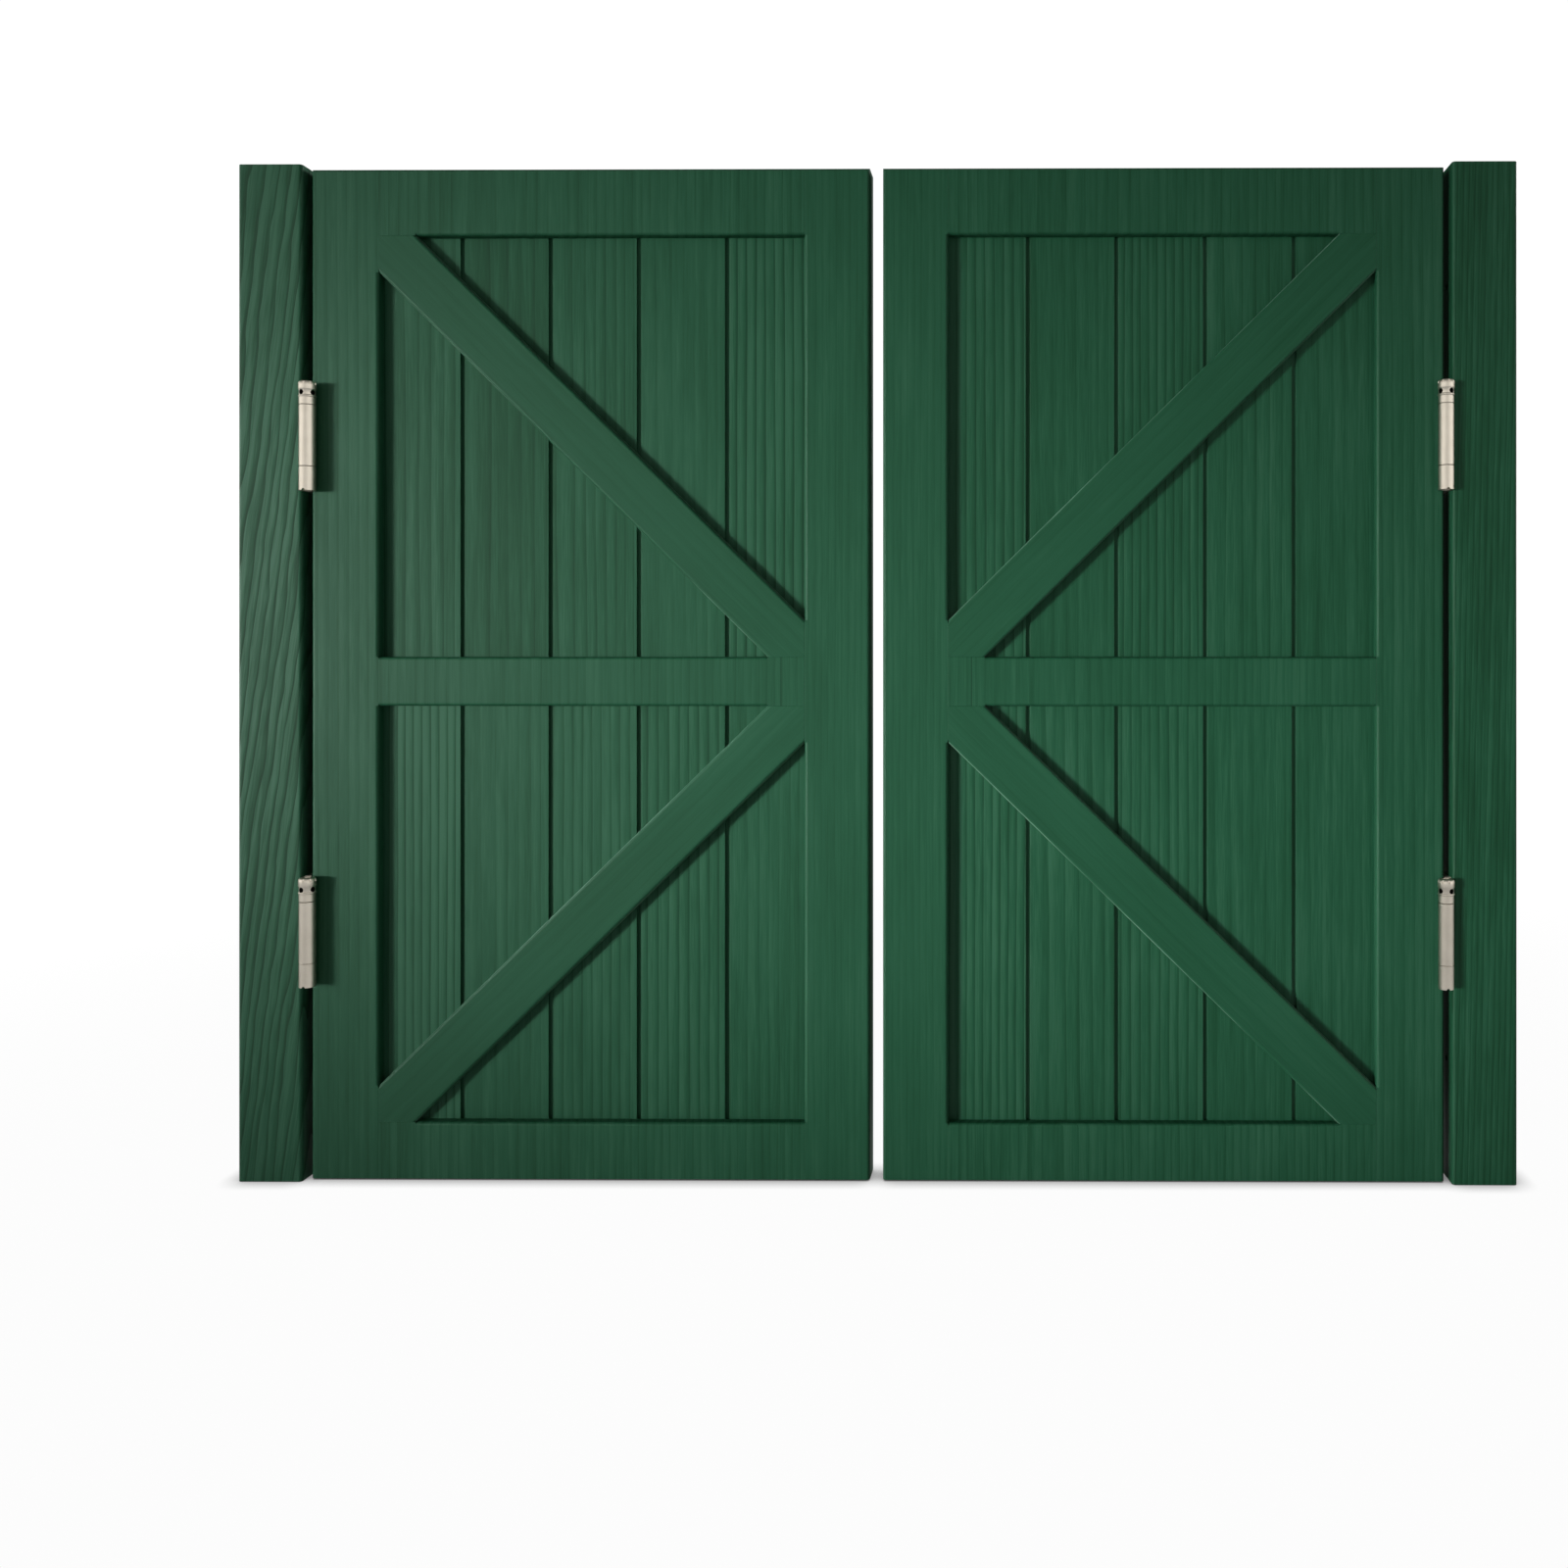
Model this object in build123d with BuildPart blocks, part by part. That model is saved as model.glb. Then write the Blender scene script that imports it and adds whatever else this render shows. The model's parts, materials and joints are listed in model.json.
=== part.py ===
from build123d import *

import os
from math import copysign, hypot

# A pair of cafe doors, each leaf hung on its own jamb strip by two double-action
# spring hinges. Millimetres. X runs across the doorway, the front faces -Y, Z is up,
# and the origin is at the bottom centre of the doorway. The left half is modelled in
# place and the right half is its mirror image.
os.makedirs("parts", exist_ok=True)

# Leaves
leaf_width = 515.0
leaf_height = 930.0
leaf_thickness = 28.0
meeting_gap = 12.0  # between the two leaves
hinge_stile_width = 62.0
meeting_stile_width = 60.0
top_rail_height = 61.0
middle_rail_height = 45.0
middle_rail_drop = 2.5  # its centre line below the middle of the opening
bottom_rail_height = 52.0
brace_width = 48.0
arris_radius = 3.0  # round-over along the edges of frame, braces and jambs
top_chamfer = 2.0  # along the top of each leaf, front and back

# Boards of the panels, held in a groove that runs round inside the frame
board_count = 5
board_thickness = 8.0
board_gap = 4.0  # open line between two boards
tongue_thickness = 3.0
tongue_hold = 3.5  # how far a tongue reaches into the next board
tongue_clearance = 0.5
frame_groove = 9.5
board_side_clearance = 1.0
board_top_clearance = 0.5
tenon_clearance = 0.5

# Jamb strips
jamb_width = 59.0
jamb_depth = 38.0
jamb_above_leaf = 3.0
jamb_below_leaf = 1.0
fixing_hole_from_end = 110.0
fixing_hole_radius = 2.75

# Hinges
hinge_height = 100.0
upper_hinge_drop = 247.0  # from the top of the leaf to the middle of the hinge
lower_hinge_rise = 229.0  # from the bottom of the leaf to the middle of the hinge
plate_thickness = 1.8
plate_clearance = 0.35  # between the plates of a closed hinge
plate_width = 29.0
barrel_radius = 7.0
barrel_spacing = 45.0  # between the axes of the front and the rear barrel
bottom_knuckle = 22.0
top_knuckle = 7.0
end_play = 0.3
spindle_radius = 3.0
running_clearance = 0.05
collar_radius = 7.5
collar_height = 15.0
collar_hole_radius = 2.5
collar_hole_depth = 4.0
collar_hole_drop = 10.7  # from the top of the hinge
collar_hole_turn = 40.0  # to either side of the direction away from the leaf
collar_hole_sides = 8

# Places that follow from the sizes
leaf_right = -meeting_gap / 2
leaf_left = leaf_right - leaf_width
leaf_bottom = jamb_below_leaf
leaf_top = leaf_bottom + leaf_height
leaf_front = -leaf_thickness / 2
leaf_depth = (leaf_front, leaf_thickness / 2)
opening_left = leaf_left + hinge_stile_width
opening_right = leaf_right - meeting_stile_width
opening_bottom = leaf_bottom + bottom_rail_height
opening_top = leaf_top - top_rail_height
middle_bottom = (opening_bottom + opening_top - middle_rail_height) / 2 - middle_rail_drop
middle_top = middle_bottom + middle_rail_height
opening_width = opening_right - opening_left
opening_middle = (opening_left + opening_right) / 2
recess = (leaf_thickness - board_thickness) / 2
board_depth = (-board_thickness / 2, board_thickness / 2)
boards_width = opening_width + 2 * (frame_groove - board_side_clearance)
board_pitch = boards_width / board_count
tenon_left = opening_left - frame_groove + tenon_clearance
tenon_right = opening_right + frame_groove - tenon_clearance
plate_step = plate_thickness + plate_clearance
jamb_face = leaf_left - 2 * plate_step - plate_thickness
jamb_top = leaf_top + jamb_above_leaf
link_face = jamb_face + plate_step
door_leaf_face = link_face + plate_step
barrel_x = jamb_face + barrel_radius
front_barrel = -barrel_spacing / 2
rear_barrel = barrel_spacing / 2
collar_bottom = hinge_height - collar_height
top_knuckle_bottom = collar_bottom - top_knuckle
tube_bottom = bottom_knuckle + end_play
tube_top = top_knuckle_bottom - end_play
hinge_bottoms = {
    "upper": leaf_top - upper_hinge_drop - hinge_height / 2,
    "lower": leaf_bottom + lower_hinge_rise - hinge_height / 2,
}
panels = {
    "upper": (middle_top, opening_top),
    "lower": (opening_bottom, middle_bottom),
}
brace_ends = {  # height at the hinge stile, height at the meeting stile
    "upper": (opening_top, middle_top),
    "lower": (opening_bottom, middle_bottom),
}
plate_depth = (-plate_width / 2, plate_width / 2)
front_of_leaf = Plane.XZ.offset(leaf_thickness / 2)
upright = (Align.CENTER, Align.CENTER, Align.MIN)


def block(x, y, z, mode=Mode.ADD):
    # a square-edged block between two limits on each axis
    with Locations(((x[0] + x[1]) / 2, (y[0] + y[1]) / 2, (z[0] + z[1]) / 2)):
        Box(x[1] - x[0], y[1] - y[0], z[1] - z[0], mode=mode)


def landings(ends):
    # how far a brace's edges land from the corners of its panel: along rail and stile
    rise = ends[1] - ends[0]
    slope = hypot(opening_width, rise)
    along_rail = brace_width / 2 * slope / abs(rise)
    along_stile = copysign(brace_width / 2 * slope / opening_width, rise)
    return along_rail, along_stile


def rounding(start, end, into, depthwise):
    # the corner that a round-over takes off an arris, from the two directions into the wood
    arris = Vector(*end) - Vector(*start)
    section = Plane(start, x_dir=into, z_dir=arris)
    turn = section.y_dir.Y * depthwise
    with BuildPart() as waste:
        with BuildSketch(section):
            with Locations((arris_radius / 2, turn * arris_radius / 2)):
                Rectangle(arris_radius, arris_radius)
            with Locations((arris_radius, turn * arris_radius)):
                Circle(arris_radius, mode=Mode.SUBTRACT)
        extrude(amount=arris.length)
    return waste.part


def rail_rounding(span, z, upwards, y):
    start, end = (span[0], y, z), (span[1], y, z)
    return rounding(start, end, (0, 0, upwards), copysign(1, -y))


def stile_rounding(span, x, rightwards, y):
    start, end = (x, y, span[0]), (x, y, span[1])
    return rounding(start, end, (rightwards, 0, 0), copysign(1, -y))


def top_chamfers(span):
    # what comes off the front and the back arris along the top of a leaf
    wastes = []
    for y in leaf_depth:
        inwards = copysign(top_chamfer, -y)
        with BuildPart() as waste:
            with BuildSketch(Plane((span[0], y, leaf_top), x_dir=(0, 1, 0), z_dir=(1, 0, 0))):
                Polygon((0, 0), (inwards, 0), (0, -top_chamfer), align=None)
            extrude(amount=span[1] - span[0])
        wastes.append(waste.part)
    return wastes


def stile(x, groove_x, outer, roundings):
    with BuildPart() as post:
        block(x, leaf_depth, (leaf_bottom, leaf_top))
        fillet(edges().filter_by(Axis.Z).group_by(Axis.X)[outer], radius=arris_radius)
        block(groove_x, board_depth, (leaf_bottom, leaf_top), Mode.SUBTRACT)
        for waste in roundings + top_chamfers(x):
            add(waste, mode=Mode.SUBTRACT)
    return post.part


def rail(z, grooves, roundings):
    with BuildPart() as bar:
        block((opening_left, opening_right), leaf_depth, z)
        block((tenon_left, tenon_right), board_depth, z)
        for groove in grooves:
            block((tenon_left, tenon_right), board_depth, groove, Mode.SUBTRACT)
        for waste in roundings:
            add(waste, mode=Mode.SUBTRACT)
    return bar.part


def brace(ends):
    # from a corner at the hinge stile to a corner at the meeting stile, over the boards
    along_rail, along_stile = landings(ends)
    with BuildPart() as strut:
        with BuildSketch(front_of_leaf):
            Polygon(
                (opening_left, ends[0]),
                (opening_left + along_rail, ends[0]),
                (opening_right, ends[1] - along_stile),
                (opening_right, ends[1]),
                (opening_right - along_rail, ends[1]),
                (opening_left, ends[0] + along_stile),
                align=None,
            )
        extrude(amount=-recess)
        long_edges = faces().sort_by(Axis.Y)[0].edges().sort_by(SortBy.LENGTH)[-2:]
        fillet(long_edges, radius=arris_radius)
    return strut.part


def plank(index, panel):
    # The outer boards keep a plain edge towards the stile, the rest are tongued
    # on the right and grooved on the left.
    middle = opening_middle + (index - (board_count - 1) / 2) * board_pitch
    half_face = (board_pitch - board_gap) / 2
    first = index == 0
    last = index == board_count - 1
    left = middle - (board_pitch / 2 if first else half_face)
    right = middle + (board_pitch / 2 if last else half_face)
    bottom = panel[0] - frame_groove
    top = panel[1] + frame_groove - board_top_clearance
    tongue_length = board_gap + tongue_hold
    slot_depth = tongue_hold + tongue_clearance
    with BuildPart() as board:
        with BuildSketch(Plane.XY.offset(bottom)):
            with Locations(((left + right) / 2, 0)):
                Rectangle(right - left, board_thickness)
            if not last:
                with Locations((right + tongue_length / 2, 0)):
                    Rectangle(tongue_length, tongue_thickness)
            if not first:
                with Locations((left + slot_depth / 2, 0)):
                    Rectangle(slot_depth, tongue_thickness, mode=Mode.SUBTRACT)
        extrude(amount=top - bottom)
    return board.part


def outer_leaf(face_x, axis_y, bottom):
    # the plate on the jamb or on the door, rolled into a knuckle above and below
    plate_x = (face_x, face_x + plate_thickness)
    with BuildPart() as leaf:
        block(plate_x, plate_depth, (bottom, bottom + hinge_height))
        for low, high in ((0, bottom_knuckle), (top_knuckle_bottom, collar_bottom)):
            block(plate_x, sorted((0, axis_y)), (bottom + low, bottom + high))
            with Locations((barrel_x, axis_y, bottom + low)):
                Cylinder(barrel_radius, high - low, align=upright)
    return leaf.part


def link_leaf(bottom):
    # the middle plate, rolled into a long tube at its front and its rear edge
    plate_x = (link_face, link_face + plate_thickness)
    tube_z = (bottom + tube_bottom, bottom + tube_top)
    with BuildPart() as leaf:
        block(plate_x, plate_depth, (bottom, bottom + hinge_height))
        block(plate_x, (front_barrel, rear_barrel), tube_z)
        with Locations((barrel_x, front_barrel, tube_z[0]), (barrel_x, rear_barrel, tube_z[0])):
            Cylinder(barrel_radius, tube_top - tube_bottom, align=upright)
            Cylinder(
                spindle_radius + running_clearance,
                tube_top - tube_bottom,
                align=upright,
                mode=Mode.SUBTRACT,
            )
    return leaf.part


def spindles(axis_y):
    # the pins that carry the long tubes between the two knuckles
    with BuildPart() as pins:
        for bottom in hinge_bottoms.values():
            with Locations((barrel_x, axis_y, bottom + bottom_knuckle)):
                Cylinder(spindle_radius, top_knuckle_bottom - bottom_knuckle, align=upright)
    return pins.part


def collars(axis_y):
    # tension collars with the radial holes that take the adjusting pin
    with BuildPart() as caps:
        for bottom in hinge_bottoms.values():
            with Locations((barrel_x, axis_y, bottom + collar_bottom)):
                Cylinder(collar_radius, collar_height, align=upright)
            centre = Vector(barrel_x, axis_y, bottom + hinge_height - collar_hole_drop)
            for turn in (-collar_hole_turn, collar_hole_turn):
                outwards = Vector(0, axis_y, 0).normalized().rotate(Axis.Z, turn)
                floor = centre + outwards * (collar_radius - collar_hole_depth)
                with BuildSketch(Plane(floor, x_dir=(0, 0, 1), z_dir=outwards)):
                    RegularPolygon(collar_hole_radius, collar_hole_sides)
                extrude(amount=2 * collar_hole_depth, mode=Mode.SUBTRACT)
    return caps.part


def jamb():
    # eased along its four long edges, with two fixing holes through it towards the wall
    with BuildPart() as strip:
        block((jamb_face - jamb_width, jamb_face), (-jamb_depth / 2, jamb_depth / 2), (0, jamb_top))
        fillet(edges().filter_by(Axis.Z), radius=arris_radius)
        with Locations(
            Plane((jamb_face, 0, fixing_hole_from_end), z_dir=(1, 0, 0)),
            Plane((jamb_face, 0, jamb_top - fixing_hole_from_end), z_dir=(1, 0, 0)),
        ):
            Hole(fixing_hole_radius)
    return strip.part


def mirrored(piece):
    with BuildPart() as twin:
        mirror(piece, about=Plane.YZ)
    return twin.part


def both(piece):
    with BuildPart() as pair:
        add(piece)
        mirror(piece, about=Plane.YZ)
    return pair.part


def write(name, piece):
    piece.label = name
    export_step(piece, f"parts/{name}.step")


def write_handed(name, piece):
    write("left_" + name, piece)
    write("right_" + name, mirrored(piece))


# Pieces fixed to the wall
write_handed("jamb", jamb())
for place, bottom in hinge_bottoms.items():
    write_handed(f"{place}_jamb_leaf", outer_leaf(jamb_face, front_barrel, bottom))
write("front_spindles", both(spindles(front_barrel)))
write("front_collars", both(collars(front_barrel)))

# Pieces that swing between jamb and door
for place, bottom in hinge_bottoms.items():
    write_handed(f"{place}_link_leaf", link_leaf(bottom))

# Frame of each door, grooved for the boards and rounded over along the open panels
upper_rail_landing, upper_stile_landing = landings(brace_ends["upper"])
lower_rail_landing, lower_stile_landing = landings(brace_ends["lower"])
back = leaf_thickness / 2
full_width = (opening_left, opening_right)
hinge_side = (
    (leaf_front, (middle_top, opening_top + upper_stile_landing)),
    (leaf_front, (opening_bottom + lower_stile_landing, middle_bottom)),
    (back, panels["upper"]),
    (back, panels["lower"]),
)
meeting_side = (
    (leaf_front, (middle_top - upper_stile_landing, opening_top)),
    (leaf_front, (opening_bottom, middle_bottom - lower_stile_landing)),
    (back, panels["upper"]),
    (back, panels["lower"]),
)
write_handed(
    "hinge_stile",
    stile(
        (leaf_left, opening_left),
        (opening_left - frame_groove, opening_left),
        0,
        [stile_rounding(span, opening_left, -1, y) for y, span in hinge_side],
    ),
)
write_handed(
    "meeting_stile",
    stile(
        (opening_right, leaf_right),
        (opening_right, opening_right + frame_groove),
        -1,
        [stile_rounding(span, opening_right, 1, y) for y, span in meeting_side],
    ),
)
write_handed(
    "top_rail",
    rail(
        (opening_top, leaf_top),
        [(opening_top, opening_top + frame_groove)],
        [
            rail_rounding((opening_left + upper_rail_landing, opening_right), opening_top, 1, leaf_front),
            rail_rounding(full_width, opening_top, 1, back),
            *top_chamfers(full_width),
        ],
    ),
)
write_handed(
    "middle_rail",
    rail(
        (middle_bottom, middle_top),
        [(middle_top - frame_groove, middle_top), (middle_bottom, middle_bottom + frame_groove)],
        [
            rail_rounding((opening_left, opening_right - upper_rail_landing), middle_top, -1, leaf_front),
            rail_rounding((opening_left, opening_right - lower_rail_landing), middle_bottom, 1, leaf_front),
            rail_rounding(full_width, middle_top, -1, back),
            rail_rounding(full_width, middle_bottom, 1, back),
        ],
    ),
)
write_handed(
    "bottom_rail",
    rail(
        (leaf_bottom, opening_bottom),
        [(opening_bottom - frame_groove, opening_bottom)],
        [
            rail_rounding((opening_left + lower_rail_landing, opening_right), opening_bottom, -1, leaf_front),
            rail_rounding(full_width, opening_bottom, -1, back),
        ],
    ),
)

# Braces, boards and hinge pieces of each door
for place, ends in brace_ends.items():
    write_handed(f"{place}_brace", brace(ends))
for place, panel in panels.items():
    for index in range(board_count):
        write_handed(f"{place}_plank_{index + 1}", plank(index, panel))
for place, bottom in hinge_bottoms.items():
    write_handed(f"{place}_door_leaf", outer_leaf(door_leaf_face, rear_barrel, bottom))
write_handed("rear_spindles", spindles(rear_barrel))
write_handed("rear_collars", collars(rear_barrel))
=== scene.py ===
import json
from math import atan2, cos, pi, radians, sin

import bpy
from mathutils import Matrix, Vector

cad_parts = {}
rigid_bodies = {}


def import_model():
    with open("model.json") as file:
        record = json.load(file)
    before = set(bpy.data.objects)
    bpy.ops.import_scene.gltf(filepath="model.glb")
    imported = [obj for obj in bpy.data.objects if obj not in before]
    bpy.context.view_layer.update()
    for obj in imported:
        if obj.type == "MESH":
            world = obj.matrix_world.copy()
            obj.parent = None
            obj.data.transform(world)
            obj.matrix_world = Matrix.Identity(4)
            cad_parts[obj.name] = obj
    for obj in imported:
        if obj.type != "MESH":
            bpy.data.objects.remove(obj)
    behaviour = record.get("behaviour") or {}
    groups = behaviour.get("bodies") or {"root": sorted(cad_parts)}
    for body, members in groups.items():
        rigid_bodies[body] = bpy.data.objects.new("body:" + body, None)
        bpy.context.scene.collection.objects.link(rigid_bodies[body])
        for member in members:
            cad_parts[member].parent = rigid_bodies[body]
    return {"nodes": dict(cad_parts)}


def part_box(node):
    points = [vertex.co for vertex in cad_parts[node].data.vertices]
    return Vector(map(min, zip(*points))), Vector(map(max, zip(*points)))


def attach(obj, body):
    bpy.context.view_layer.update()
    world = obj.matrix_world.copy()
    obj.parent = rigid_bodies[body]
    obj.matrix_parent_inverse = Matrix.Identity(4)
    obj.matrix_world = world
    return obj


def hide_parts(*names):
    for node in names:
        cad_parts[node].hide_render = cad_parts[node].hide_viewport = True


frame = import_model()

scene = bpy.context.scene
nodes = frame["nodes"]
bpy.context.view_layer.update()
bpy.ops.object.select_all(action="DESELECT")
print("doors loaded:", len(nodes), "pieces")

sides = {"left": -1, "right": 1}  # which way each half lies from the middle of the doorway


def linear(hexColour):
    # sRGB hex to the linear colour that a shader takes
    channels = [int(hexColour[i:i + 2], 16) / 255 for i in (1, 3, 5)]
    return [c / 12.92 if c <= 0.04045 else ((c + 0.055) / 1.055) ** 2.4 for c in channels] + [1.0]


def addNode(tree, kind, settings=None, inputs=None):
    # one node with its settings; an input is a value or another node's output
    node = tree.nodes.new(kind)
    for name, value in (settings or {}).items():
        setattr(node, name, value)
    for name, value in (inputs or {}).items():
        if isinstance(value, bpy.types.NodeSocket):
            tree.links.new(value, node.inputs[name])
        else:
            node.inputs[name].default_value = value
    return node


def newMaterial(name):
    material = bpy.data.materials.new(name)
    material.use_nodes = True
    material.node_tree.nodes.clear()
    return material, material.node_tree


def dress(node, material):
    node.data.materials.clear()
    node.data.materials.append(material)


# Pine under a thin green paint: the hard late wood of each year ring shows as a darker
# line, the soft wood between them is even, and the whole has a satin shine.
paintedPine = {
    # from the deepest grain to the lightest wood
    "colours": ((0.15, "#103F27"), (0.42, "#194E33"), (0.62, "#22593E"), (0.92, "#35694E")),
    "plain": 0.62,             # where wood without grain lies among those colours
    "fibreWidth": 1.1,         # mm, drawn as coarse as the picture can show
    "streakWidth": 7.0,        # mm
    "patchWidth": 45.0,        # mm
    "alongGrain": 26.0,        # how many times longer than wide a fibre and a streak are
    "alongPatch": 4.0,
    "fibreContrast": 0.5,
    "streakContrast": 0.8,
    "patchContrast": 0.35,
    "lineContrast": 0.66,      # of the year rings
    "lineSharpness": 3.0,
    "heartDepth": 0.04,        # m, how far behind the face the heart of the log lay
    "heartStep": 0.006,        # m, deeper from one piece to the next
    "tilt": 0.01,              # rad, the steps by which the pieces are sawn out of true
    "roughness": ((0.3, 0.58), (0.8, 0.45)),  # in the grain and on plain wood
    "shine": 0.2,
    "grainDepth": 0.12,        # mm
    "grainStrength": 0.6,
    "jointWidth": 0.9,         # mm
    "jointDarkness": 0.5,
    "paintedArrisHighlight": "#86AE98",         # painted highlight along the arrises of the braces
    "paintedHighlightWidth": 0.9,          # mm
    "paintedHighlightStreaks": (0.35, 0.65),  # the streaks that it starts at and is full at
    "paintedHighlightShare": 0.6,
    "arris": 0.8,              # mm, how far the paint is rounded over an edge
    # step, number of steps and start along each axis: each piece shows another place of the
    # pattern
    "shifts": ((3.7, 7, 1.3), (2.1, 5, 0.3), (5.3, 11, 2.9)),
}
ringPitch = 2 * pi / 20  # m from ring to ring of a wave texture at scale 1


def makePine(name, node, seed, tone, strength, lines, spacing, pith, lean=0.0, waver=3.0,
             bends=0.07, joint=None, edge=None):
    # tone: lighter or darker than the rest, strength: how clearly the fibres show, lines: how dark
    # the year rings are, spacing in mm; pith: how far to the side, in m, the heart of the log
    # lay; lean turns the grain from upright, in radians; waver: how far the rings wander from
    # their course, bends: how often they do so along the grain; joint: where an upright glued
    # joint crosses the piece, as X in m; edge: how far the long arrises, along which a lighter
    # paint is laid as a painted highlight, lie from the middle of the piece, in m
    look = paintedPine
    low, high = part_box(node)
    centre = (low + high) / 2
    material, tree = newMaterial(name)
    place = addNode(tree, "ShaderNodeTexCoord").outputs["Object"]
    for setting in ({"Location": -centre}, {"Rotation": (0.0, -lean, 0.0)}):
        place = addNode(tree, "ShaderNodeMapping", None, {"Vector": place, **setting}).outputs[0]
    shift = [step * (seed % number) + start for step, number, start in look["shifts"]]
    patterns = []
    for width, along, noise in (
            (look["fibreWidth"], look["alongGrain"], {"Detail": 2.0}),
            (look["streakWidth"], look["alongGrain"],
             {"Detail": 3.0, "Roughness": 0.6, "Distortion": 0.3}),
            (look["patchWidth"], look["alongPatch"], {"Detail": 2.0})):
        across = 1000 / width
        stretched = addNode(tree, "ShaderNodeMapping", None,
                            {"Vector": place, "Location": shift,
                             "Scale": (across, across, across / along)}).outputs[0]
        patterns.append(addNode(tree, "ShaderNodeTexNoise", None,
                                {"Vector": stretched, "Scale": 1.0, **noise}).outputs["Fac"])
    fibres, streaks, patches = patterns
    heart = addNode(tree, "ShaderNodeMapping", None,
                    {"Vector": place,
                     "Location": (pith, look["heartDepth"] + look["heartStep"] * (seed % 4), 0.0),
                     "Rotation": (look["tilt"] * (2 * (seed % 3) - 2),
                                  look["tilt"] * (seed % 5 - 2), 0.0),
                     "Scale": (1.0, 1.0, bends)}).outputs[0]
    rings = addNode(tree, "ShaderNodeTexWave",
                    {"wave_type": "RINGS", "rings_direction": "Z", "wave_profile": "SAW"},
                    {"Vector": heart, "Scale": ringPitch / (spacing / 1000), "Distortion": waver,
                     "Detail": 3.0, "Detail Scale": 0.5, "Detail Roughness": 0.6}).outputs["Fac"]
    rings = addNode(tree, "ShaderNodeMath", {"operation": "POWER"},
                    {0: rings, 1: look["lineSharpness"]}).outputs[0]
    ringMiddle = 1 / (1 + look["lineSharpness"])
    grain = look["plain"] + tone
    for part, middle, contrast in (
            (fibres, 0.5, look["fibreContrast"] * strength),
            (streaks, 0.5, look["streakContrast"] * strength),
            (patches, 0.5, look["patchContrast"]),
            (rings, ringMiddle, -look["lineContrast"] * lines)):
        even = addNode(tree, "ShaderNodeMath", {"operation": "SUBTRACT"},
                       {0: part, 1: middle}).outputs[0]
        grain = addNode(tree, "ShaderNodeMath", {"operation": "MULTIPLY_ADD"},
                        {0: even, 1: contrast, 2: grain}).outputs[0]
    if joint is not None:
        across = addNode(tree, "ShaderNodeSeparateXYZ", None, {0: place}).outputs["X"]
        glued = addNode(tree, "ShaderNodeMath", {"operation": "COMPARE"},
                        {0: across, 1: joint - centre.x, 2: look["jointWidth"] / 2000}).outputs[0]
        grain = addNode(tree, "ShaderNodeMath", {"operation": "MULTIPLY_ADD"},
                        {0: glued, 1: -look["jointDarkness"], 2: grain}).outputs[0]
    ramp = addNode(tree, "ShaderNodeValToRGB", None, {"Fac": grain})
    stops = ramp.color_ramp.elements
    first, *between, last = look["colours"]
    for stop, (position, colour) in zip(stops, (first, last)):
        stop.position, stop.color = position, linear(colour)
    for position, colour in between:
        stops.new(position).color = linear(colour)
    paint = ramp.outputs["Color"]
    # painted highlight: a lighter paint in streaks along the arrises stands for light glinting on
    # the brace edges
    if edge is not None:
        across = addNode(tree, "ShaderNodeSeparateXYZ", None, {0: place}).outputs["X"]
        aside = addNode(tree, "ShaderNodeMath", {"operation": "ABSOLUTE"}, {0: across}).outputs[0]
        onArris = addNode(tree, "ShaderNodeMath", {"operation": "GREATER_THAN"},
                          {0: aside, 1: edge - look["paintedHighlightWidth"] / 1000}).outputs[0]
        starts, full = look["paintedHighlightStreaks"]
        paintedHighlightShare = addNode(tree, "ShaderNodeMapRange", None,
                       {"Value": streaks, "From Min": starts, "From Max": full,
                        "To Min": 0.0, "To Max": look["paintedHighlightShare"]}).outputs[0]
        paintedHighlightShare = addNode(tree, "ShaderNodeMath", {"operation": "MULTIPLY"},
                       {0: paintedHighlightShare, 1: onArris}).outputs[0]
        paint = addNode(tree, "ShaderNodeMix", {"data_type": "RGBA"},
                        {"Factor": paintedHighlightShare, 6: paint, 7: linear(look["paintedArrisHighlight"])}).outputs[2]
    rounded = addNode(tree, "ShaderNodeBevel", {"samples": 4},
                      {"Radius": look["arris"] / 1000}).outputs[0]
    bump = addNode(tree, "ShaderNodeBump", None,
                   {"Height": grain, "Strength": look["grainStrength"],
                    "Distance": look["grainDepth"] / 1000, "Normal": rounded}).outputs[0]
    (inGrain, rough), (onWood, smooth) = look["roughness"]
    roughness = addNode(tree, "ShaderNodeMapRange", None,
                        {"Value": grain, "From Min": inGrain, "From Max": onWood,
                         "To Min": rough, "To Max": smooth}).outputs[0]
    shader = addNode(tree, "ShaderNodeBsdfPrincipled", None,
                     {"Base Color": paint, "Roughness": roughness,
                      "IOR": 1.5, "Specular IOR Level": look["shine"], "Normal": bump})
    addNode(tree, "ShaderNodeOutputMaterial", None, {"Surface": shader.outputs[0]})
    return material


# Metal with fine upright brush lines and faint clouds of stain.
brushedMetal = {
    "stain": "#9A917F",
    "stainShare": 0.15,
    "cloudRange": (0.35, 0.75),    # the clouds that the stain starts at and is full at
    "cloudScale": 90.0,            # to the metre
    "brushWidth": 0.35,            # mm between two brush lines
    "alongBrush": 60,              # how many times longer than wide a brush line is
    "brushDepth": 0.05,            # mm
    "brushStrength": 0.25,
    "roughnessSpread": (0.08, 0.1),  # smoother and rougher from line to line
}


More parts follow.
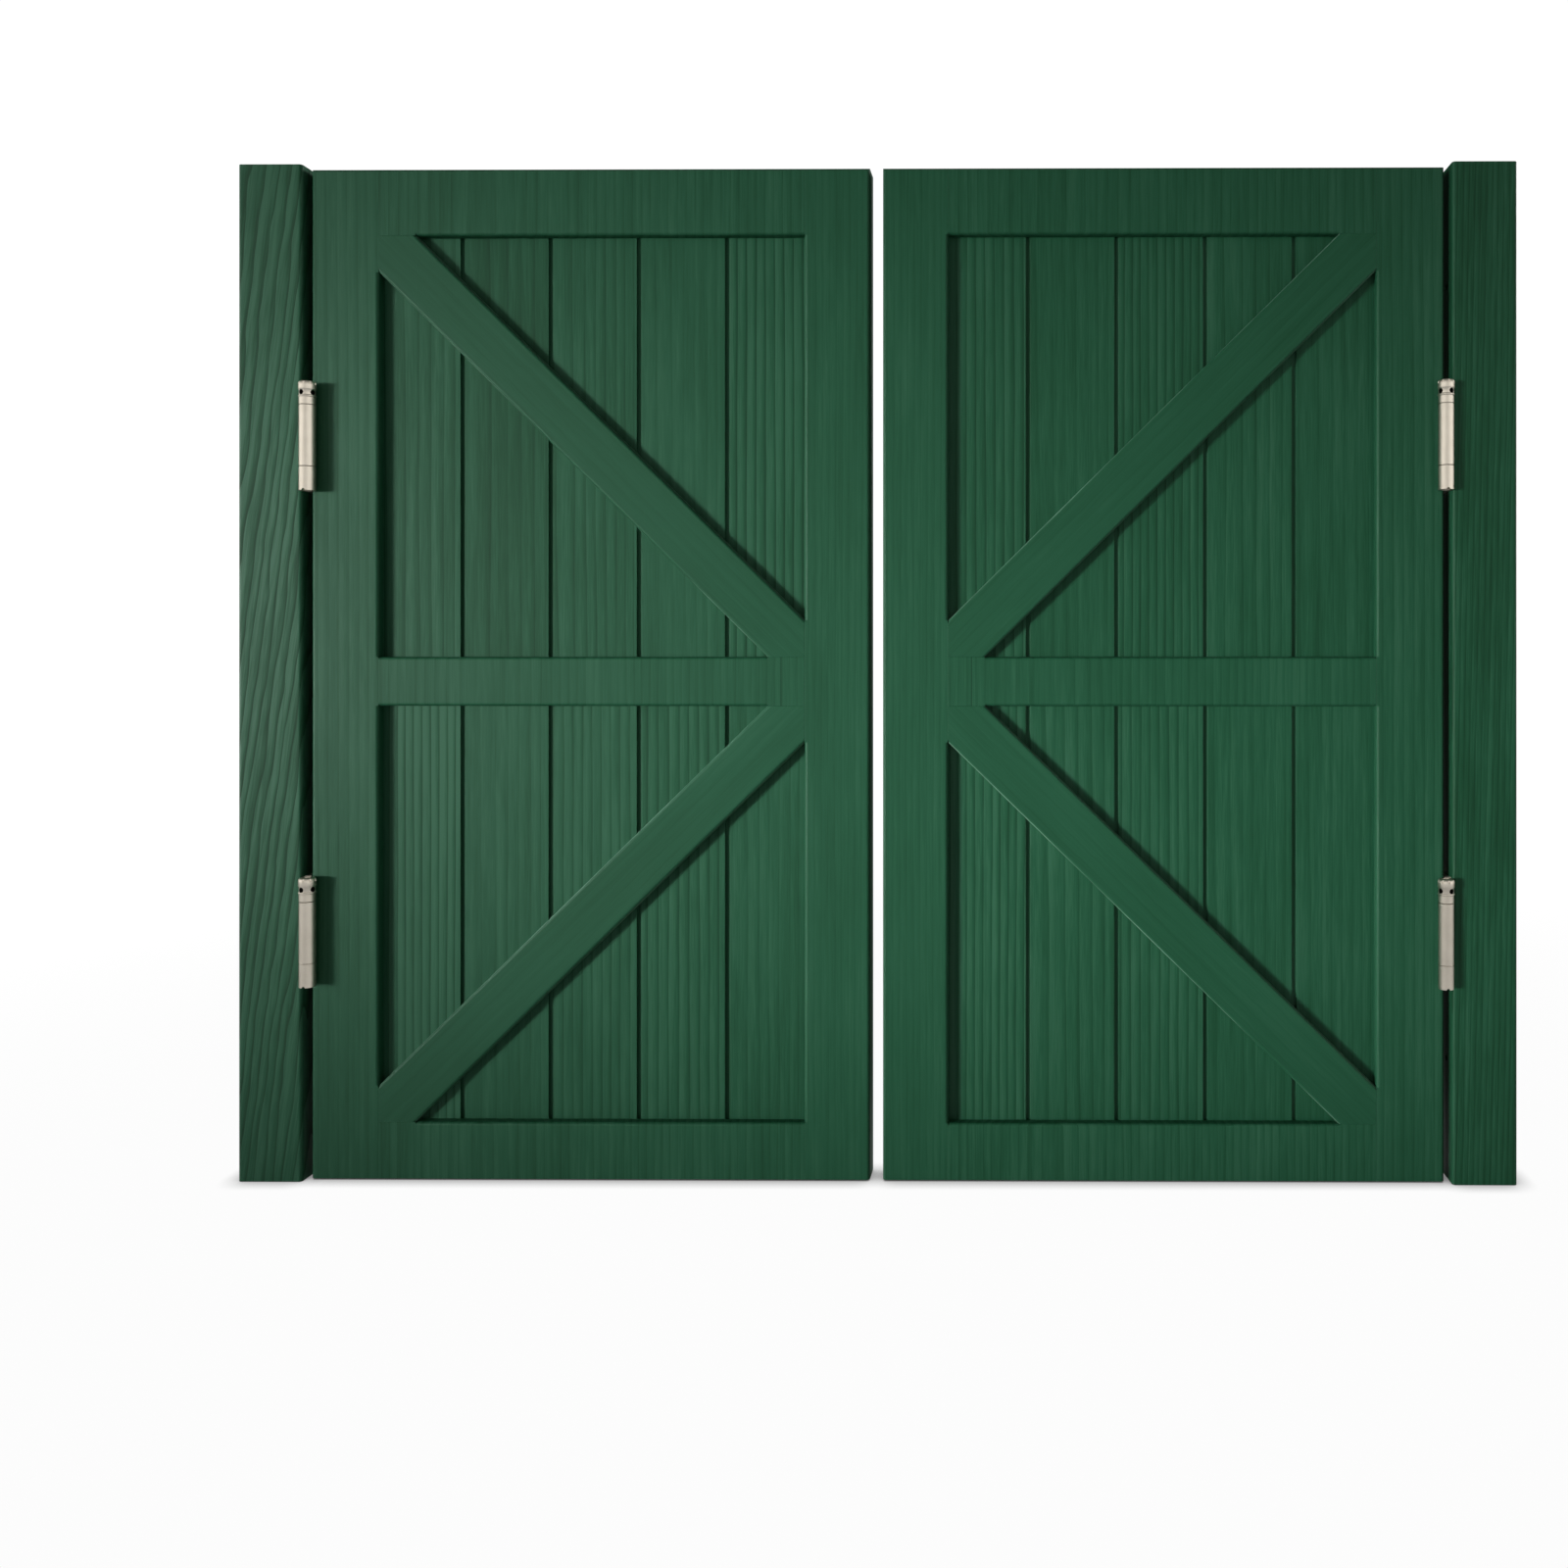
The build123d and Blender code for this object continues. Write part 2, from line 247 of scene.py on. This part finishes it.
def makeMetal(name, colour, roughness):
    look = brushedMetal
    material, tree = newMaterial(name)
    place = addNode(tree, "ShaderNodeTexCoord").outputs["Object"]
    width = 1000 / look["brushWidth"]
    brushSpace = addNode(tree, "ShaderNodeMapping", None,
                         {"Vector": place,
                          "Scale": (width, width, width / look["alongBrush"])}).outputs[0]
    brushing = addNode(tree, "ShaderNodeTexNoise", None,
                       {"Vector": brushSpace, "Scale": 1.0, "Detail": 2.0}).outputs["Fac"]
    clouds = addNode(tree, "ShaderNodeTexNoise", None,
                     {"Vector": place, "Scale": look["cloudScale"], "Detail": 3.0}).outputs["Fac"]
    starts, full = look["cloudRange"]
    stained = addNode(tree, "ShaderNodeMapRange", None,
                      {"Value": clouds, "From Min": starts, "From Max": full}).outputs[0]
    stained = addNode(tree, "ShaderNodeMath", {"operation": "MULTIPLY"},
                      {0: stained, 1: look["stainShare"]}).outputs[0]
    metal = addNode(tree, "ShaderNodeMix", {"data_type": "RGBA"},
                    {"Factor": stained, 6: linear(colour), 7: linear(look["stain"])}).outputs[2]
    smoother, rougher = look["roughnessSpread"]
    rough = addNode(tree, "ShaderNodeMapRange", None,
                    {"Value": brushing, "To Min": roughness - smoother,
                     "To Max": roughness + rougher}).outputs[0]
    bump = addNode(tree, "ShaderNodeBump", None,
                   {"Height": brushing, "Strength": look["brushStrength"],
                    "Distance": look["brushDepth"] / 1000}).outputs[0]
    shader = addNode(tree, "ShaderNodeBsdfPrincipled", None,
                     {"Base Color": metal, "Metallic": 1.0, "Roughness": rough, "Normal": bump})
    addNode(tree, "ShaderNodeOutputMaterial", None, {"Surface": shader.outputs[0]})
    return material


# How each piece of wood shows its grain: tone, strength of the fibres, darkness of the
# year rings, their spacing in mm, how far aside the heart lay in m, lean, waver, bends.
frameGrain = {
    "hinge_stile": (0.0, 0.7, 0.3, 9.0, 0.12, 0.0, 3.0),
    "meeting_stile": (-0.02, 0.5, 0.18, 6.0, 0.16, 0.0, 3.0),
    "top_rail": (-0.03, 0.7, 0.3, 8.0, 0.1, 0.0, 3.0),
    "middle_rail": (-0.03, 0.5, 0.25, 7.0, 0.1, 0.0, 3.0),
    "bottom_rail": (0.0, 0.75, 0.35, 7.0, 0.1, 0.0, 3.0),
}
jambGrain = {
    "left": (0.0, 1.3, 1.2, 8.0, 0.1, 0.13, 9.0, 0.22),
    "right": (-0.17, 1.1, 0.55, 5.0, 0.12, 0.02, 3.0),
}
railJoint = 0.0876  # m, from the middle of the doorway to the glued joint in each middle rail
braceWidth = 0.048  # m
braceGrain = (-0.05, 0.35, 0.1, 9.0, 0.1)
boardGrain = {  # tone and ring darkness of the five boards, from the hinge to the meeting stile
    "left_upper": ((-0.06, 0.55), (-0.18, 0.35), (-0.03, 0.5), (-0.02, 0.25), (-0.02, 1.1)),
    "left_lower": ((0.14, 1.0), (0.02, 0.35), (0.02, 0.65), (0.0, 0.75), (-0.03, 0.35)),
    "right_upper": ((-0.08, 0.25), (-0.05, 0.45), (-0.1, 0.8), (-0.04, 0.2), (-0.04, 0.8)),
    "right_lower": ((-0.02, 0.25), (-0.03, 0.25), (-0.01, 0.7), (-0.01, 0.5), (0.02, 0.8)),
}
boardCut = {
    "strength": 0.8,
    "clear": 0.6,      # boards with darker rings than this are sawn further from the heart
    "piths": (0.05, 0.16),
    "spacing": 7.5,    # mm
    "spacingStep": 0.5,
}


def dressWood():
    # a number of its own for each piece moves its pattern, so that no two look alike
    seed = 0
    for side, way in sides.items():
        seed += 3
        node = side + "_jamb"
        dress(nodes[node], makePine(side + "JambPine", node, seed, *jambGrain[side]))
        for piece, look in frameGrain.items():
            seed += 1
            node = f"{side}_{piece}"
            joint = way * railJoint if piece == "middle_rail" else None
            dress(nodes[node], makePine(node + "_pine", node, seed, *look, joint=joint))
        for place, lean in (("upper", -1), ("lower", 1)):
            node = f"{side}_{place}_brace"
            low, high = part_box(node)
            slope = atan2(high.x - low.x, high.z - low.z) * lean * -way
            seed += 1
            dress(nodes[node], makePine(node + "_pine", node, seed, *braceGrain, slope,
                                        edge=braceWidth / 2))
            for index, (tone, lines) in enumerate(boardGrain[f"{side}_{place}"], 1):
                seed += 1
                node = f"{side}_{place}_plank_{index}"
                pith = boardCut["piths"][lines > boardCut["clear"]]
                spacing = boardCut["spacing"] + boardCut["spacingStep"] * (seed % 4)
                dress(nodes[node], makePine(node + "_pine", node, seed, tone,
                                            boardCut["strength"], lines, spacing, pith))


metals = {  # colour and roughness
    "satinNickel": ("#D6CFC2", 0.42),   # warm grey and softly shining: all that shows
    "spindleSteel": ("#A9A9A8", 0.35),  # plain grey, ground and a little shinier
    "paintedBoreShade": ("#1C1A17", 0.6),      # painted shade: nearly black, so that the holes read as deep
}
nickel, pinSteel, paintedBoreShade = [makeMetal(name, *look) for name, look in metals.items()]


def dressHinges():
    for name, node in nodes.items():
        if "spindles" in name:
            dress(node, pinSteel)
        elif "leaf" in name or "collars" in name:
            dress(node, nickel)


dressWood()
dressHinges()
print("wood and metal dressed")


def takeUp(piece):
    # the only piece selected, and the active one
    bpy.ops.object.select_all(action="DESELECT")
    piece.select_set(True)
    bpy.context.view_layer.objects.active = piece


def addCylinder(radius, depth, location, rotation=(0.0, 0.0, 0.0), around=24):
    bpy.ops.mesh.primitive_cylinder_add(vertices=around, radius=radius, depth=depth,
                                        location=location, rotation=rotation)
    return bpy.context.object


def cut(piece, cutters):
    # takes the cutters out of a piece and uses them up
    takeUp(cutters[0])
    for cutter in cutters[1:]:
        cutter.select_set(True)
    if len(cutters) > 1:
        bpy.ops.object.join()
    cutter = bpy.context.object
    takeUp(piece)
    change = piece.modifiers.new("cut", "BOOLEAN")
    change.operation = "DIFFERENCE"
    change.solver = "EXACT"
    change.use_self = True
    change.object = cutter
    bpy.ops.object.modifier_apply(modifier=change.name)
    bpy.data.objects.remove(cutter)


weldDistance = 1e-6       # m
smoothUpTo = radians(35)  # between two faces; a sharper edge stays an arris


def finishMesh(piece):
    # welded, facing outwards, and smooth but for its arrises
    takeUp(piece)
    bpy.ops.object.transform_apply(location=True, rotation=True, scale=True)
    bpy.ops.object.mode_set(mode="EDIT")
    bpy.ops.mesh.select_all(action="SELECT")
    bpy.ops.mesh.remove_doubles(threshold=weldDistance)
    bpy.ops.mesh.normals_make_consistent(inside=False)
    bpy.ops.object.mode_set(mode="OBJECT")
    bpy.ops.object.shade_smooth_by_angle(angle=smoothUpTo)


def fitPiece(piece, body, *replaced):
    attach(piece, body)
    if replaced:
        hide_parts(*replaced)


def putCopy(master, name, turns, place):
    # a copy with its own mesh, turned and then moved within that mesh
    piece = bpy.data.objects.new(name, master.data.copy())
    scene.collection.objects.link(piece)
    for axis, angle in turns:
        piece.data.transform(Matrix.Rotation(angle, 4, axis))
    piece.data.transform(Matrix.Translation(place))
    return piece


# Flat-headed wood screws with a cross recess, let in flush with the hinge plates. In m.
crossScrew = {
    "headRadius": 0.0037,
    "neckRadius": 0.0019,
    "headHeight": 0.0018,
    "rim": 0.0002,
    "crossSpan": 0.0046,
    "crossWidth": 0.0011,
    "crossDepth": 0.0014,
    "taper": 0.4,      # the foot of the recess, as a part of its mouth
    "sunk": 0.0001,    # below the face of the plate
    "rises": (0.012, 0.0375, 0.0625, 0.088),  # above the foot of the hinge
    "offset": 0.0051,  # to either side of the middle of the plate, by turns
    "turns": (23, 37, 11),  # degrees: at first, from screw to screw, and with the plate's name
}


def makeScrewHead():
    # face up, with the face at the origin
    look = crossScrew
    bpy.ops.mesh.primitive_cone_add(vertices=32, radius1=look["neckRadius"],
                                    radius2=look["headRadius"], depth=look["headHeight"],
                                    location=(0, 0, -look["headHeight"] / 2))
    screw = bpy.context.object
    bpy.ops.object.mode_set(mode="EDIT")
    bpy.ops.mesh.select_mode(type="FACE")
    bpy.ops.mesh.select_all(action="DESELECT")
    bpy.ops.object.mode_set(mode="OBJECT")
    for face in screw.data.polygons:
        face.select = face.normal.z > 0.9
    bpy.ops.object.mode_set(mode="EDIT")
    bpy.ops.mesh.bevel(offset=look["rim"], segments=2, affect="EDGES")
    bpy.ops.object.mode_set(mode="OBJECT")
    arms = []
    for turn in (0.0, pi / 2):
        bpy.ops.mesh.primitive_cube_add(
            size=1, location=(0, 0, 0), rotation=(0, 0, turn),
            scale=(look["crossSpan"], look["crossWidth"], 2 * look["crossDepth"]))
        arm = bpy.context.object
        for face in arm.data.polygons:
            face.select = face.normal.z < -0.9
        bpy.ops.object.mode_set(mode="EDIT")
        bpy.ops.mesh.select_mode(type="FACE")
        bpy.ops.transform.resize(value=(look["taper"], look["taper"], 1.0))
        bpy.ops.object.mode_set(mode="OBJECT")
        arms.append(arm)
    cut(screw, arms)
    finishMesh(screw)
    dress(screw, nickel)
    return screw


# The plates on jamb and door: countersunk, with the seam of the rolled knuckle, its bore
# below and the notch that holds the end of the spring. In m.
hingePlate = {
    "faceDepth": {"jamb": 0.0018, "door": 0.0043},  # from the outer side of the barrels
    "barrelRadius": 0.007,
    "countersink": 0.0002,  # wider all round than the head of the screw
    "over": 0.0002,         # how far a countersink's cutter runs out of the plate
    "through": 0.0001,      # how far it runs on below the screw
    "seamRadius": 0.0004,
    "boreRadius": 0.0048,
    "boreDepth": 0.003,
    "notchRadius": 0.0015,
    "seams": (0.022, 0.078),  # where the knuckles end, above the foot of the hinge
    "coveRadius": 0.0006,     # of the hollowed rim at those ends
}


def makePlate(side, height, which, screwHead):
    look = hingePlate
    node = f"{side}_{height}_{which}_leaf"
    body = "jambs" if which == "jamb" else side + "_door"
    way = sides[side]
    low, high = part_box(node)
    facing = -way if which == "jamb" else way  # the screw heads look this way along X
    faceX = (low.x if way < 0 else high.x) - way * look["faceDepth"][which]
    barrelX = (low.x if way < 0 else high.x) - way * look["barrelRadius"]
    outward = -1 if which == "jamb" else 1  # jamb plates are rolled in front, door plates behind
    barrelY = (low.y if which == "jamb" else high.y) - outward * look["barrelRadius"]

    plate = bpy.data.objects.new(f"{side}_{height}_{which}_plate", nodes[node].data.copy())
    scene.collection.objects.link(plate)
    takeUp(plate)
    bpy.ops.mesh.customdata_custom_splitnormals_clear()
    bpy.ops.object.mode_set(mode="EDIT")
    bpy.ops.mesh.select_all(action="SELECT")
    bpy.ops.mesh.remove_doubles(threshold=weldDistance)
    bpy.ops.object.mode_set(mode="OBJECT")

    cutters = []
    over, through = look["over"], look["through"]
    wide = crossScrew["headRadius"] + look["countersink"]
    depth = crossScrew["headHeight"] + through + over
    firstTurn, turnStep, letterTurn = crossScrew["turns"]
    for index, rise in enumerate(crossScrew["rises"]):
        y = crossScrew["offset"] * (-1) ** index * outward
        bpy.ops.mesh.primitive_cone_add(
            vertices=32, radius1=wide - crossScrew["headHeight"] - through, radius2=wide + over,
            depth=depth, location=(faceX + facing * (over - depth / 2), y, low.z + rise),
            rotation=(0, facing * pi / 2, 0))
        cutters.append(bpy.context.object)
        turn = radians(firstTurn + turnStep * index + letterTurn * len(node))
        screw = putCopy(screwHead, f"{side}_{height}_{which}_screw_{index + 1}",
                        (("Z", turn), ("Y", facing * pi / 2)),
                        (faceX - facing * crossScrew["sunk"], y, low.z + rise))
        fitPiece(screw, body)
    seamX = faceX + facing * look["seamRadius"]
    seamY = barrelY - outward * (look["barrelRadius"] ** 2 - (seamX - barrelX) ** 2) ** 0.5
    seamHeight = high.z - low.z
    cutters.append(addCylinder(look["seamRadius"], seamHeight,
                               (seamX, seamY, low.z + seamHeight / 2), around=12))
    cutters.append(addCylinder(look["boreRadius"], 2 * look["boreDepth"],
                               (barrelX, barrelY, low.z), around=32))
    for rise in look["seams"]:
        bpy.ops.mesh.primitive_torus_add(
            major_segments=48, minor_segments=8, major_radius=look["barrelRadius"],
            minor_radius=look["coveRadius"], location=(barrelX, barrelY, low.z + rise))
        cutters.append(bpy.context.object)
    notchDepth = look["barrelRadius"]
    cutters.append(addCylinder(look["notchRadius"], notchDepth,
                               (barrelX, barrelY + outward * notchDepth, low.z), (pi / 2, 0, 0)))
    cut(plate, cutters)
    finishMesh(plate)
    fitPiece(plate, body, node)


# Tension collars on top of the barrels: turned, with a waist at the holes for the
# adjusting pin, a notched rim above them and a socket in the top. In m.
tensionCollar = {
    "rise": 0.085,  # above the foot of the hinge
    # height and radius, up the outside and down into the socket
    "profile": ((0.0, 0.0069), (0.0005, 0.0073), (0.0011, 0.0075), (0.0018, 0.0073),
                (0.0023, 0.0069), (0.0064, 0.0069), (0.0070, 0.0073), (0.0077, 0.0075),
                (0.0118, 0.0075), (0.0134, 0.0072), (0.0144, 0.0066), (0.0149, 0.0058),
                (0.015, 0.0046), (0.015, 0.0033), (0.0125, 0.0031)),
    "holeRise": 0.0043,
    "holeRadius": 0.0024,
    "holeDepth": 0.0045,
    "holeTurns": (-135, -45, 45, 135),  # degrees from the front
    "settings": {"left": 26, "right": -17},  # degrees, how far each side's collars are turned up
    "notches": 8,
    "notchRadius": 0.0009,
    "notchDepth": 0.0035,
    "skin": 0.001,  # only what lies deeper than this in a hole is painted dark as shade
}


def makeCollar():
    # upright, its foot at the origin and its holes towards the front
    look = tensionCollar
    profile = look["profile"]
    bpy.ops.mesh.primitive_circle_add(vertices=48, radius=profile[0][1], fill_type="NGON",
                                      location=(0, 0, 0))
    collar = bpy.context.object
    bpy.ops.object.mode_set(mode="EDIT")
    for (low, radius), (high, wide) in zip(profile, profile[1:]):
        bpy.ops.mesh.extrude_region_move(TRANSFORM_OT_translate={"value": (0, 0, high - low)})
        bpy.ops.transform.resize(value=(wide / radius, wide / radius, 1.0))
    bpy.ops.mesh.select_all(action="SELECT")
    bpy.ops.mesh.normals_make_consistent(inside=False)
    bpy.ops.object.mode_set(mode="OBJECT")
    widest = max(radius for height, radius in profile)
    top = max(height for height, radius in profile)
    cutters = []
    for turn in look["holeTurns"]:
        cutters.append(addCylinder(
            look["holeRadius"], 2 * look["holeDepth"],
            (widest * sin(radians(turn)), -widest * cos(radians(turn)), look["holeRise"]),
            (pi / 2, 0, radians(turn))))
    for index in range(look["notches"]):
        turn = 2 * pi * (index + 0.5) / look["notches"]
        cutters.append(addCylinder(look["notchRadius"], 2 * look["notchDepth"],
                                   (widest * sin(turn), widest * cos(turn), top), around=12))
    cut(collar, cutters)
    finishMesh(collar)
    dress(collar, nickel)
    # painted shade: the faces deep inside the adjusting-pin holes take the near-black material
    collar.data.materials.append(paintedBoreShade)
    for face in collar.data.polygons:
        inside = (face.center.xy.length < widest - look["skin"]
                  and look["skin"] < face.center.z < 2 * look["holeRise"]
                  and abs(face.normal.z) < 0.99)
        face.material_index = 1 if inside else 0
    return collar


def makeHinges():
    screwHead = makeScrewHead()
    collar = makeCollar()
    barrel = hingePlate["barrelRadius"]
    for side in sides:
        setting = radians(tensionCollar["settings"][side])
        for height in ("upper", "lower"):
            for which in ("jamb", "door"):
                makePlate(side, height, which, screwHead)
            low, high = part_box(f"{side}_{height}_link_leaf")
            middleX = (low.x + high.x) / 2
            for end, y, turn, body, node in (
                    ("front", low.y + barrel, 0.0, "jambs", "front_collars"),
                    ("rear", high.y - barrel, pi, side + "_door", side + "_rear_collars")):
                piece = putCopy(collar, f"{side}_{height}_{end}_collar",
                                (("Z", turn + setting),),
                                (middleX, y, low.z + tensionCollar["rise"]))
                fitPiece(piece, body, node)
    for master in (screwHead, collar):
        bpy.data.objects.remove(master)
    bpy.ops.object.select_all(action="DESELECT")


makeHinges()
print("hinges fitted with screws and collars")

# The room: a pale floor and a white surround that only the camera and reflections see.
room = {
    "floorSize": 12.0,               # m
    "floorGap": 0.0005,              # m, below the feet of the doors
    "floorColour": "#B9B9B7",
    "nearGlow": 0.975,               # what the camera sees of the floor, beside the doors
    "farGlow": 1.05,
    "glowReach": (0.7, 3.0),         # m, where the one ends and the other begins
    "contactReach": 0.02,            # m, how far the shade at the foot of the doors goes
    "floorMirrored": (0.5, 0.1),     # how bright metal shows the floor: before and behind them
    "floorMirroredReach": 0.3,       # m, from the one to the other
    "bounce": 0.1,                   # light thrown up by the floor
    "ambient": 0.05,                 # light from all round
    "backdrop": 1.05,
    "white": "#FFFFFF",
    "warmWhite": "#FFFDF9",          # of the room as metal shows it
    "mirrored": (1.05, 1.75, 0.04),  # how bright that is before, beside and behind the doors
    "beforeEdge": (-0.98, -0.8),     # along Y, where the one gives way to the other
    "behindEdge": (0.2, 0.7),
    "overhead": 0.15,                # the part of it that comes from above and below
    "overheadEdge": (0.2, 0.6),      # along Z, where it falls to that
}


def makeFloor():
    bpy.ops.mesh.primitive_plane_add(size=room["floorSize"], location=(0, 0, -room["floorGap"]))
    floor = bpy.context.object
    floor.name = "floor"
    material, tree = newMaterial("paleFloor")
    place = addNode(tree, "ShaderNodeTexCoord").outputs["Object"]
    distance = addNode(tree, "ShaderNodeVectorMath", {"operation": "LENGTH"},
                       {0: place}).outputs["Value"]
    near, far = room["glowReach"]
    glow = addNode(tree, "ShaderNodeMapRange", {"interpolation_type": "SMOOTHSTEP"},
                   {"Value": distance, "From Min": near, "From Max": far,
                    "To Min": room["nearGlow"], "To Max": room["farGlow"]}).outputs[0]
    contact = addNode(tree, "ShaderNodeAmbientOcclusion", None,
                      {"Distance": room["contactReach"]}).outputs["AO"]
    plain = addNode(tree, "ShaderNodeBsdfDiffuse", None,
                    {"Color": linear(room["floorColour"])}).outputs[0]
    bounce = addNode(tree, "ShaderNodeEmission", None,
                     {"Color": linear(room["white"]), "Strength": room["bounce"]}).outputs[0]
    plain = addNode(tree, "ShaderNodeAddShader", None, {0: plain, 1: bounce}).outputs[0]
    rays = addNode(tree, "ShaderNodeLightPath")
    depth = addNode(tree, "ShaderNodeSeparateXYZ", None, {0: place}).outputs["Y"]
    before, behind = room["floorMirrored"]
    dim = addNode(tree, "ShaderNodeMapRange", None,
                  {"Value": depth, "From Min": 0.0, "From Max": room["floorMirroredReach"],
                   "To Min": before, "To Max": behind}).outputs[0]
    dim = addNode(tree, "ShaderNodeMix", {"data_type": "FLOAT"},
                  {0: rays.outputs["Is Glossy Ray"], 2: 1.0, 3: dim}).outputs[0]
    for factor in (contact, dim):
        glow = addNode(tree, "ShaderNodeMath", {"operation": "MULTIPLY"},
                       {0: glow, 1: factor}).outputs[0]
    shown = addNode(tree, "ShaderNodeEmission", None,
                    {"Color": linear(room["white"]), "Strength": glow}).outputs[0]
    direct = rays.outputs["Is Camera Ray"]
    for ray in ("Is Glossy Ray", "Is Transmission Ray"):
        direct = addNode(tree, "ShaderNodeMath", {"operation": "MAXIMUM"},
                         {0: direct, 1: rays.outputs[ray]}).outputs[0]
    surface = addNode(tree, "ShaderNodeMixShader", None,
                      {0: direct, 1: plain, 2: shown}).outputs[0]
    addNode(tree, "ShaderNodeOutputMaterial", None, {"Surface": surface})
    floor.data.materials.append(material)
    floor.select_set(False)


def makeSurround():
    world = bpy.data.worlds.new("studio")
    scene.world = world
    world.use_nodes = True
    tree = world.node_tree
    tree.nodes.clear()
    rays = addNode(tree, "ShaderNodeLightPath")
    direct = addNode(tree, "ShaderNodeMath", {"operation": "MAXIMUM"},
                     {0: rays.outputs["Is Camera Ray"],
                      1: rays.outputs["Is Transmission Ray"]}).outputs[0]
    direction = addNode(tree, "ShaderNodeTexCoord").outputs["Generated"]
    parts = addNode(tree, "ShaderNodeSeparateXYZ", None, {0: direction})
    depth = parts.outputs["Y"]
    steepness = addNode(tree, "ShaderNodeMath", {"operation": "ABSOLUTE"},
                        {0: parts.outputs["Z"]}).outputs[0]
    before, beside, behind = room["mirrored"]
    glow = 1.0
    for along, (starts, ends), first, then in (
            (depth, room["beforeEdge"], before, beside),
            (depth, room["behindEdge"], 1.0, behind / beside),
            (steepness, room["overheadEdge"], 1.0, room["overhead"])):
        factor = addNode(tree, "ShaderNodeMapRange", {"interpolation_type": "SMOOTHSTEP"},
                         {"Value": along, "From Min": starts, "From Max": ends,
                          "To Min": first, "To Max": then}).outputs[0]
        glow = addNode(tree, "ShaderNodeMath", {"operation": "MULTIPLY"},
                       {0: glow, 1: factor}).outputs[0]
    fill, mirrored, white = [
        addNode(tree, "ShaderNodeBackground", None,
                {"Color": linear(room[colour]), "Strength": strength}).outputs[0]
        for colour, strength in (("white", room["ambient"]), ("warmWhite", glow),
                                 ("white", room["backdrop"]))]
    mixed = addNode(tree, "ShaderNodeMixShader", None,
                    {0: rays.outputs["Is Glossy Ray"], 1: fill, 2: mirrored}).outputs[0]
    mixed = addNode(tree, "ShaderNodeMixShader", None, {0: direct, 1: mixed, 2: white}).outputs[0]
    addNode(tree, "ShaderNodeOutputWorld", None, {"Surface": mixed})


# Daylight from the left through narrow windows, level with the doors, so that it fades
# above and below and casts its shadows sideways. The last lamp lights the back. Places and
# sizes in m, spreads in degrees, power in W.
lamps = {
    "window": {"place": (-2.75, -2.15, 0.55), "aim": (0.05, 0.0, 0.47), "size": (1.2, 0.6),
               "spread": 22, "power": 1.93},
    "highLeft": {"place": (-2.75, -2.15, 0.85), "aim": (-0.3, 0.0, 0.8), "size": (0.5, 0.6),
                 "spread": 16, "power": 0.43},
    "highRight": {"place": (-2.75, -2.15, 0.85), "aim": (0.3, 0.0, 0.85), "size": (0.5, 0.6),
                  "spread": 16, "power": 0.2},
    "lowLeft": {"place": (-2.75, -2.15, 0.2), "aim": (-0.3, 0.0, 0.15), "size": (0.5, 0.6),
                "spread": 14, "power": 0.24},
    "lowRight": {"place": (-2.75, -2.15, 0.15), "aim": (0.35, 0.0, 0.12), "size": (0.5, 0.6),
                 "spread": 16, "power": 0.98},
    "rear": {"place": (2.4, 1.7, 1.3), "aim": (0.0, 0.0, 0.45), "size": (1.8, 1.4),
             "spread": 180, "power": 50.0},
}


def makeLamps():
    # the lamps before the doors pass the bright metal by, which shows the pale room instead
    metal = bpy.data.collections.new("metal")
    for piece in scene.objects:
        if piece.type == "MESH" and nickel.name in piece.data.materials:
            metal.objects.link(piece)
    for item in metal.collection_objects:
        item.light_linking.link_state = "EXCLUDE"
    for name, lamp in lamps.items():
        bpy.ops.object.light_add(type="AREA", location=lamp["place"])
        light = bpy.context.object
        light.name = name + "Lamp"
        light.data.shape = "RECTANGLE"
        light.data.size, light.data.size_y = lamp["size"]
        light.data.energy = lamp["power"]
        light.data.spread = radians(lamp["spread"])
        towards = Vector(lamp["aim"]) - Vector(lamp["place"])
        light.rotation_euler = towards.to_track_quat("-Z", "Y").to_euler()
        if lamp["place"][1] < 0:
            light.light_linking.receiver_collection = metal
        light.select_set(False)


view = {
    "place": (0.1519, -1.2188, 0.4922),  # m
    "turn": 0.0069,                      # rad, towards the left leaf
    "focalPixels": 1338.8,
    "centrePixels": (1053.5, 658.6),     # where the lens axis meets the picture
    "imageSize": 1600,
    "sensorWidth": 36.0,                 # mm
    "nearest": 0.01,                     # m, nothing closer is drawn
}


def makeCamera():
    data = bpy.data.cameras.new("camera")
    camera = bpy.data.objects.new("camera", data)
    scene.collection.objects.link(camera)
    camera.location = view["place"]
    camera.rotation_euler = (pi / 2, 0.0, view["turn"])
    data.sensor_width = view["sensorWidth"]
    data.lens = view["focalPixels"] / view["imageSize"] * data.sensor_width
    data.shift_x = 0.5 - view["centrePixels"][0] / view["imageSize"]
    data.shift_y = view["centrePixels"][1] / view["imageSize"] - 0.5
    data.clip_start = view["nearest"]
    scene.camera = camera


makeFloor()
makeSurround()
makeLamps()
makeCamera()
scene.view_settings.view_transform = "Standard"
print("room, lamps and camera set")
